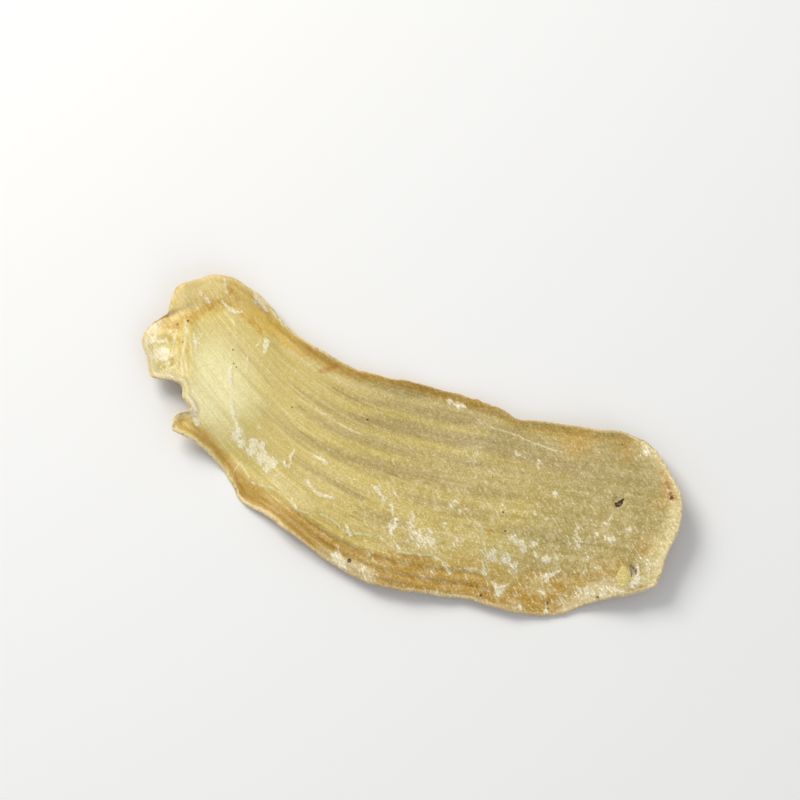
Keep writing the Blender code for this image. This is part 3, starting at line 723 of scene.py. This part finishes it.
def roundRim(mesh, tops, under):
    # cuts the walls of the rim into rings and pushes them out to a rounded edge
    f = fine
    outward = mesh.verts.layers.float_vector["outward"]
    walls = [edge for edge in mesh.edges if (edge.verts[0] in tops) != (edge.verts[1] in tops)]
    mesh.normal_update()
    for edge in walls:
        facing = sum((face.normal for face in edge.link_faces), Vector((0, 0, 0)))
        facing.z = 0.0
        for vert in edge.verts:
            vert[outward] = facing.normalized()
    bmesh.ops.subdivide_edges(mesh, edges=walls, cuts=f.rimRings, use_grid_fill=True)
    for vert in mesh.verts:
        facing = vert[outward]
        if facing.length > 0.5:
            swell = math.sqrt(max(1 - (2 * vert[under] - 1) ** 2, 0.0))
            vert.co += facing * (((f.rimInset + f.rimBulge) * swell - f.rimInset) * mm)
    mesh.verts.layers.float_vector.remove(outward)


blade = makeBlade()
print("modelled the blade:", len(blade.data.polygons), "faces")


# Shader sums written as sums

def operator(operation, flip=False):
    return lambda wire, other=0.0: wire.maths(operation, other, flip)


class Wire:
    def __init__(self, shade, socket):
        self.shade = shade
        self.socket = socket

    def maths(self, operation, other, flip):
        pair = {0: other, 1: self} if flip else {0: self, 1: other}
        return self.shade.node("ShaderNodeMath", {"operation": operation}, pair)

    __add__, __radd__ = operator("ADD"), operator("ADD", True)
    __sub__, __rsub__ = operator("SUBTRACT"), operator("SUBTRACT", True)
    __mul__, __rmul__ = operator("MULTIPLY"), operator("MULTIPLY", True)
    __truediv__, __rtruediv__ = operator("DIVIDE"), operator("DIVIDE", True)
    __pow__, larger, size = operator("POWER"), operator("MAXIMUM"), operator("ABSOLUTE")

    def rise(self, low, high):
        # 0 below low, 1 above high; with low above high it falls instead
        if low > high:
            return 1 - self.rise(high, low)
        settings = {"interpolation_type": "SMOOTHSTEP"}
        return self.shade.node("ShaderNodeMapRange", settings, {0: self, 1: low, 2: high})

    def bell(self, width):
        return self.size().rise(width, 0)


class Shade:
    def __init__(self, name):
        self.material = bpy.data.materials.new(name)
        self.material.use_nodes = True
        self.tree = self.material.node_tree
        self.surface = self.tree.nodes["Principled BSDF"]

    def node(self, kind, settings, inputs, output=0):
        made = self.tree.nodes.new(kind)
        for name, value in settings.items():
            setattr(made, name, value)
        for key, value in inputs.items():
            self.feed(made.inputs[key], value)
        return Wire(self, made.outputs[output])

    def feed(self, socket, value):
        if isinstance(value, Wire):
            self.tree.links.new(value.socket, socket)
        else:
            socket.default_value = value

    def vector(self, x, y, z=0.0):
        return self.node("ShaderNodeCombineXYZ", {}, {0: x, 1: y, 2: z})

    def vectors(self, operation, first, second, output=0):
        return self.node("ShaderNodeVectorMath", {"operation": operation}, {0: first, 1: second}, output)

    def scaled(self, vector, amount):
        return self.node("ShaderNodeVectorMath", {"operation": "SCALE"}, {0: vector, "Scale": amount})

    def noise(self, vector, detail=2.0, roughness=0.5, distortion=0.0, output=0):
        sockets = {0: vector, "Scale": 1, "Detail": detail, "Roughness": roughness, "Distortion": distortion}
        return self.node("ShaderNodeTexNoise", {"noise_dimensions": "3D"}, sockets, output)

    def blend(self, first, second, mask):
        sockets = {"Factor": mask, 6: first, 7: second}
        return self.node("ShaderNodeMix", {"data_type": "RGBA"}, sockets, 2)


def tint(*screen):
    # a colour as it looks on screen, 0 to 255, for a shader
    return (*Color([value / 255 for value in screen]).from_srgb_to_scene_linear(), 1.0)


# Dried flesh

flesh = Values({
    "khaki": (212, 190, 112), "greyKhaki": (179, 160, 103), "tail": (181, 161, 98),
    "straw": (223, 203, 125), "butter": (255, 246, 188), "butterWhite": (252, 244, 204),
    "gold": (218, 196, 108), "grey": (173, 151, 98), "pale": (224, 208, 150),
    "film": (222, 206, 152), "starch": (250, 241, 210), "chalk": (216, 196, 150),
    # lip: the rim's pale colour, lightened further as painted highlight on its crest; lipTan is the skin's
    # own tan
    "cream": (234, 216, 156), "lip": (240, 222, 170), "lipTan": (206, 172, 112),
    "flake": (236, 216, 138), "cap": (238, 216, 150),
    "amberPale": (222, 188, 94), "amber": (196, 155, 66), "amberDeep": (166, 122, 48),
    "brownFibre": (200, 160, 78), "stain": (196, 136, 54), "stainDeep": (132, 88, 34),
    "hollow": (198, 176, 92), "crease": (220, 188, 88),
    "skin": (186, 148, 94), "skinDark": (136, 98, 58), "skinPale": (214, 184, 130),
    "dark": (56, 34, 20), "chipFloor": (118, 84, 54), "crack": (96, 88, 78),
    "constants": {
        "Subsurface Weight": 0.1, "Subsurface Radius": (1, 0.7, 0.3), "Subsurface Scale": 0.0008,
        "Specular IOR Level": 0.4,
    },
    "roughness": 0.42, "bump": 0.7, "bumpDepth": 0.0003,
    # noises drawn out along the fibres: length, width, layer
    "fibreNoises": {"broad": (46, 3, 0), "middle": (20, 1.2, 4), "thin": (12, 0.5, 9), "hair": (5, 0.3, 14)},
    # round ones: size, detail, roughness, distortion
    "roundNoises": {
        "cloud": (7, 2, 0.5, 0), "grain": (0.42, 2, 0.6, 0), "mottle": (1.5, 3, 0.65, 0.5),
        "salt": (0.9, 3, 0.75, 0.3), "veil": (3, 5, 0.72, 0.7),
    },
    "dashSize": (1.7, 0.5), "dashSlant": (0.82, 0.57), "threadSize": (0.6, 9), "threadTwist": 0.12,
    "rightFrom": (-28, 12), "busyFrom": (-36, 8), "headTo": (-6, -46), "headSlant": 0.3,
    # centre and reach of a round patch of pale flesh brightened as painted light
    "glow": Vector((-43, -2)), "glowReach": (15, 3), "tailFrom": (24, 42), "softTo": (6, 30),
    "dotWobble": 0.9, "dotWobbleSize": 0.8,
})

# Dark dots: x, y, radius
darkDots = [
    (26.6, -4, 0.28), (24.6, -0.7, 0.24), (27.5, -18.6, 0.32), (-0.7, -23, 0.4), (-41.3, 7.9, 0.18),
    (-40, 5.3, 0.15), (-39.2, 4.8, 0.16), (49.9, -9.2, 0.4), (-52.4, 9.6, 0.22), (-51.6, 5.1, 0.16),
    (-9.6, 6, 0.2), (-25.1, 1.9, 0.16), (9.6, -25, 0.34), (-54.1, 8, 0.22), (19.6, 5.4, 0.16),
    (41.6, 22.8, 0.24), (55.7, 16.1, 0.36),
]


class Patterns:
    # the masks, coordinates and noises that the layers of colour share
    def __init__(self, shade):
        f = flesh
        self.shade = shade
        for name in masks:
            mask = shade.node("ShaderNodeAttribute", {"attribute_name": name}, {}, "Fac")
            setattr(self, name, mask)
        where = shade.node("ShaderNodeTexCoord", {}, {}, "Object")
        self.place = place = shade.scaled(where, 1 / mm)
        self.x, self.y = x, y = [shade.node("ShaderNodeSeparateXYZ", {}, {0: place}, i) for i in (0, 1)]
        for name, (length, width, layer) in f.fibreNoises.items():
            where = shade.vector(self.along / length, self.across / width, layer)
            setattr(self, name, shade.noise(where))
        for name, (size, *settings) in f.roundNoises.items():
            setattr(self, name, shade.noise(shade.scaled(place, 1 / size), *settings))
        (length, width), (cos, sin) = f.dashSize, f.dashSlant
        slanted = shade.vector((x * cos - y * sin) / length, (x * sin + y * cos) / width, 2)
        self.dashes = shade.noise(slanted, 2, 0.6)
        self.ragged = self.stray(salt=1.3, mottle=0.8)
        self.right = x.rise(*f.rightFrom)
        self.busy = 0.4 + x.rise(*f.busyFrom) * 0.6
        self.head = (x + y * f.headSlant + self.stray(cloud=10)).rise(*f.headTo)

    def stray(self, **amounts):
        # unevenness about 0, from so much of each noise
        return sum((getattr(self, name) - 0.5) * amount for name, amount in amounts.items())


class Coat:
    # colours laid one over another
    def __init__(self, shade, first):
        self.shade = shade
        self.colour = tint(*flesh[first])

    def lay(self, tone, mask):
        # tone names one of the colours above, or is another coat's
        tone = tint(*flesh[tone]) if tone in flesh else tone
        self.colour = self.shade.blend(self.colour, tone, mask)
        return self


def layGround(lay, p):
    # pale butter at the head, brightened further as painted light by the flared end, khaki beyond, greyer
    # towards the upper edge, with streaks along the fibres
    left = 1.2 - p.right
    lay("greyKhaki", p.across.rise(18, 32) * p.right * 0.9)
    lay("tail", p.x.rise(*flesh.tailFrom) * 0.8)
    lay("straw", p.head)
    # butter in a round patch: the head's own pale colour, brightened as painted light where the head faces
    # the lamp
    x, y = p.x - flesh.glow.x, p.y - flesh.glow.y
    glow = ((x * x + y * y) ** 0.5 + p.stray(cloud=8)).rise(*flesh.glowReach)
    lay("butter", glow * 0.95)
    soft = 0.75 - p.head * 0.45 - p.x.rise(*flesh.softTo) * 0.3
    fray = p.stray(middle=2.6, thin=1.4, mottle=1.2)
    lay("grey", (p.grey + fray).rise(1.2, -0.8) * soft * 0.85)
    lay("gold", (p.gold + fray).rise(0.9, -0.8) * soft * 0.8)
    lay("pale", (p.pale + fray * 0.7).rise(0.6, -0.5) * 0.5)
    lay("pale", p.broad.rise(0.52, 0.68) * 0.2)
    lay("grey", p.broad.rise(0.48, 0.34) * (0.28 - p.head * 0.2))
    lay("grey", p.middle.rise(0.46, 0.3) * (0.36 - p.head * 0.26) * left)
    lay("pale", p.middle.rise(0.54, 0.7) * 0.3 * left)
    lay("butterWhite", p.thin.rise(0.58, 0.74) * (0.2 + p.head * 0.2) * left)


def layEdges(lay, p):
    # amber along both edges, chalky places on the lower one and cream at the rounded end
    fray = p.stray(thin=1.6, middle=1.6, mottle=1.2)
    uneven = p.middle.rise(0.35, 0.6) * 0.3
    upper = (p.upperBand + fray).rise(0.7, -0.7) * p.along.rise(90, 70).larger(0.6)
    lower = (p.lowerBand + fray * 1.4).rise(1.2, -1.4)
    upperAmber = Coat(p.shade, "amberPale").lay("amber", p.along.rise(24, 40))
    lay(upperAmber.colour, upper * (0.65 + uneven))
    lowerAmber = Coat(p.shade, "amberPale").lay("amber", p.along.rise(0, 22))
    lay(lowerAmber.colour, lower * (0.62 + uneven))
    lay("amberDeep", lower * p.thin.rise(0.5, 0.7) * 0.25)
    lay("amberDeep", (p.amberLine + fray * 0.4).rise(0.5, -0.4) * 0.6)
    lay("amber", (p.amber + p.stray(veil=0.9, mottle=0.5)).rise(0.2, 0.8) * 0.7)
    cream = (p.creamBand + p.stray(mottle=3, cloud=2)).rise(1, -1)
    lay("cream", cream * (0.55 + p.salt.rise(0.4, 0.6) * 0.2))
    p.chalk = (p.chalkBand + p.stray(mottle=1.6, dashes=0.8)).rise(0.3, -0.5)
    lay("chalk", p.chalk * (0.62 + p.veil.rise(0.4, 0.6) * 0.34))


def layLobe(lay, p):
    # crumpled lobe, cream on yellow with painted shade in its hollows, and the threads that run together
    # along its crease
    top = form.creaseTop
    run = (form.creaseFoot - top).normalized()
    x, y = p.x - top.x, p.y - top.y
    beyond = x * run.y - y * run.x
    down = x * run.x + y * run.y
    width, length = flesh.threadSize
    twisted = p.shade.vector(beyond / width + down * flesh.threadTwist, down / length, 5)
    threads = p.shade.noise(twisted, 2, 0.5, 0.4)
    bundle = (beyond - 0.8 + p.stray(mottle=3)).bell(3.6) * down.rise(-2, 2) * down.rise(15, 9)
    lay("crease", bundle * (0.4 + threads.rise(0.4, 0.6) * 0.35))
    lay("brownFibre", bundle * threads.rise(0.56, 0.72) * 0.35)
    lay("butterWhite", bundle * threads.rise(0.46, 0.34) * 0.4)
    onLobe = beyond.rise(1.6, 4) * p.y.rise(-7, -4)
    # darker yellow between the creamy blobs: the lobe's own yellow, with painted shade for the crumple's
    # hollows
    lay("hollow", onLobe * (p.mottle + p.cloud * 0.6).rise(0.9, 0.76) * 0.85)
    lay("butterWhite", onLobe * (p.mottle + p.stray(salt=0.3)).rise(0.54, 0.63) * 0.6)
    lay("butterWhite", onLobe * (p.rim + p.stray(mottle=3)).rise(2.2, 0.6) * 0.7)


def layCap(lay, p):
    # khaki cap of the head, with a brown band, deepened as painted shade, where it folds down to the pale
    # field
    onCap = p.along.rise(20, 9) * (p.upperBand + p.stray(mottle=2)).rise(0.5, -0.5)
    lay("cap", onCap * 0.85)
    lay("amberPale", onCap * p.dashes.rise(0.5, 0.36) * 0.45)
    lay("pale", onCap * p.dashes.rise(0.54, 0.68) * 0.5)
    # the fold's band: brown fibres, with painted shade for the crease
    lay("amberPale", (p.fold + p.stray(mottle=2, dashes=3)).rise(1.9, -0.4) * 0.8)
    lay("brownFibre", (p.fold + p.stray(mottle=1.4, dashes=3)).rise(0.8, -0.6) * 0.6)
    lay("starch", onCap * p.dashes.rise(0.6, 0.72) * 0.4)


def layStains(lay, p):
    lay("stain", (p.stain + p.ragged * 0.8).rise(0.5, -0.3) * 0.6)
    lay("stainDeep", (p.stain + p.ragged * 0.6).rise(-0.35, -0.75) * 0.8)


def layStarch(lay, p):
    # a thin dusty film, lacy patches, then chalky threads and strokes, with a painted highlight along the
    # lower ledge's crest and painted shade at its foot
    lay("film", (p.veil + p.stray(mottle=0.6)).rise(0.44, 0.62) * p.dust * 0.9)
    flecks = (p.dashes + p.stray(salt=0.5)).rise(0.56, 0.7) * (0.1 + p.dust) * (1 - p.chalk * 0.8)
    lay("starch", flecks * p.busy * 0.8)
    lay("film", (p.starch + p.stray(veil=1.4)).rise(0.1, 0.9) * 0.35)
    lace = p.stray(veil=1.3, mottle=0.7, dashes=1.8, salt=0.8)
    p.patch = (p.starch * 0.8 + lace).rise(0.48, 0.86)
    lay("starch", p.patch * (0.55 + p.grain.rise(0.35, 0.6) * 0.25))
    # the ledge's crest: a pale line of painted highlight, in the same layer as the pale threads
    ledge = (p.ledge + p.stray(salt=0.8)).bell(0.45) * p.mottle.rise(0.36, 0.5)
    thread = (p.thread + p.stray(salt=0.8)).rise(0.3, 0)
    lay("butterWhite", ledge.larger(thread) * 0.5)
    # amber at the foot of the ledge: painted shade
    lay("amber", (p.ledge + 1.1).bell(1.1) * p.middle.rise(0.4, 0.55) * 0.35)
    p.drawn = (p.stroke + p.ragged).rise(0.2, -0.15)
    lay("starch", p.drawn * (0.6 + p.grain.rise(0.4, 0.6) * 0.35))
    lay("flake", (p.flake + p.ragged * 0.7).rise(0.15, -0.1) * 0.85)


def layMarks(lay, p):
    # cracks, the chip with painted shade in it, and the dark dots
    shade = p.shade
    lay("crack", (p.crack + p.stray(salt=0.5)).rise(0.2, 0) * 0.8)
    # near-black in the chip, browner at its middle: painted shade in the dent
    lay("dark", (p.chip + p.stray(salt=0.4)).rise(0.16, 0) * 0.95)
    lay("chipFloor", (p.chip + p.stray(salt=0.6)).rise(-0.2, -0.36) * 0.6)
    wobble = shade.noise(shade.scaled(p.place, 1 / flesh.dotWobbleSize), 2, 0.5, 0, "Color")
    wobble = shade.scaled(shade.vectors("SUBTRACT", wobble, (0.5, 0.5, 0.5)), flesh.dotWobble)
    wobbled = shade.vectors("MULTIPLY", shade.vectors("ADD", p.place, wobble), (1, 1, 0))
    for x, y, radius in darkDots:
        off = shade.vectors("DISTANCE", wobbled, (x, y, 0), "Value")
        lay("dark", off.rise(radius * 1.2, radius * 0.75) * 0.85)


def laySkin(lay, p):
    # painted shade in the groove inside the lips, then the lips, pale partly as painted highlight on the
    # rim's crest, then the skin round the rim and under it
    # deep amber along the groove just inside the lips: painted shade
    groove = (p.lip - 0.9 + p.stray(cloud=0.8)).bell(0.7) * p.lipPale * p.along.rise(40, 30)
    lay("amberDeep", groove * 0.4)
    lips = Coat(p.shade, "lipTan").lay("lip", p.lipPale)
    lips.lay("skin", (p.mottle + p.salt * 0.4).rise(0.72, 0.84) * 0.6)
    onLip = (p.lip + p.stray(salt=0.4, cloud=0.6)).rise(0.3, -0.1)
    lay(lips.colour, onLip * (0.55 + p.lipPale * 0.4))
    skin = Coat(p.shade, "skin").lay("skinDark", p.mottle.rise(0.48, 0.66))
    skin.lay("skinPale", p.veil.rise(0.46, 0.3))
    p.onSkin = p.under.rise(0.6, 0.95) * (p.rim + p.stray(cloud=6)).rise(7.5, 5)
    lay(skin.colour, p.onSkin * 0.85)


def fleshMaterial():
    shade = Shade("driedFlesh")
    p = Patterns(shade)
    coat = Coat(shade, "khaki")
    for layer in (layGround, layEdges, layLobe, layCap, layStains, layStarch, layMarks, laySkin):
        layer(coat.lay, p)

    # grain over everything: its brighter specks are also whiter
    specks = p.grain.rise(0.57, 0.72) * 0.22 - 0.02
    uneven = (p.stray(grain=0.7, mottle=0.35, dashes=0.35) + specks) * p.busy
    uneven = uneven + p.stray(hair=0.3, thin=0.2, cloud=0.12)
    grained = {"Value": 1 + uneven, "Saturation": 1 - uneven * 0.5, "Color": coat.colour}
    surface = shade.surface.inputs
    shade.feed(surface["Base Color"], shade.node("ShaderNodeHueSaturation", {}, grained))
    rough = (p.patch + p.drawn) * 0.25 + p.onSkin * 0.15 + p.stray(grain=0.3)
    shade.feed(surface["Roughness"], flesh.roughness + rough)
    relief = p.grain * 0.45 + p.thin * 0.3 + p.salt * 0.35 + (p.patch + p.drawn) * 0.25
    bump = {"Height": relief, "Strength": flesh.bump, "Distance": flesh.bumpDepth}
    shade.feed(surface["Normal"], shade.node("ShaderNodeBump", {}, bump))
    for name, value in flesh.constants.items():
        surface[name].default_value = value
    return shade.material


blade.data.materials.append(fleshMaterial())
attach(blade, "root")
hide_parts(node)
print("finished the flesh")


# Table, light and camera

studio = Values({
    "floorSize": 3, "floorColour": (0.93, 0.93, 0.92, 1), "floorRoughness": 0.7, "floorSpecular": 0.2,
    "floorNoise": 30, "floorNoiseDepth": 0.1,
    "world": (0.95, 0.97, 1, 1), "worldStrength": 0.46,
    # power, size, place, colour
    "lights": {
        "key": (4.2, 0.4, (-0.5, 0.26, 0.52), (1, 0.97, 0.92)),
        "fill": (0.8, 0.6, (0.5, -0.4, 0.5), (0.94, 0.97, 1)),
    },
    "target": (-0.005, 0.0127, 0.0035), "turn": 24, "elevation": 77, "distance": 1.401, "lens": 300,
    "nearest": 0.01,
})


def makeFloor():
    mesh = bmesh.new()
    bmesh.ops.create_grid(mesh, x_segments=1, y_segments=1, size=studio.floorSize / 2)
    floor = addedMesh("tableTop", mesh)
    shade = Shade("paleTable")
    where = shade.node("ShaderNodeTexCoord", {}, {}, "Object")
    tone = shade.noise(shade.scaled(where, studio.floorNoise), 3)
    rough = studio.floorRoughness + tone * studio.floorNoiseDepth
    shade.feed(shade.surface.inputs["Roughness"], rough)
    shade.surface.inputs["Base Color"].default_value = studio.floorColour
    shade.surface.inputs["Specular IOR Level"].default_value = studio.floorSpecular
    floor.data.materials.append(shade.material)


def aim(thing, place, target):
    thing.location = place
    thing.rotation_euler = (Vector(target) - Vector(place)).to_track_quat("-Z", "Y").to_euler()


def makeLights():
    for name, (power, size, place, colour) in studio.lights.items():
        lamp = bpy.data.lights.new(name, "AREA")
        lamp.energy, lamp.size, lamp.color = power, size, colour
        aim(added(name, lamp), place, (0, 0, 0))


def makeCamera():
    turn, elevation = math.radians(studio.turn), math.radians(studio.elevation)
    ahead = Vector((-math.sin(turn), math.cos(turn), 0.0))
    back = Vector((0, 0, math.sin(elevation))) - ahead * math.cos(elevation)
    camera = added("camera", bpy.data.cameras.new("camera"))
    camera.data.lens = studio.lens
    camera.data.clip_start = studio.nearest
    aim(camera, Vector(studio.target) + back * studio.distance, studio.target)
    bpy.context.scene.camera = camera


def lightWorld():
    world = bpy.data.worlds.new("softSky")
    world.use_nodes = True
    background = world.node_tree.nodes["Background"].inputs
    background["Color"].default_value = studio.world
    background["Strength"].default_value = studio.worldStrength
    bpy.context.scene.world = world
    bpy.context.scene.view_settings.view_transform = "Standard"


makeFloor()
makeLights()
makeCamera()
lightWorld()
print("set the table, light and camera")
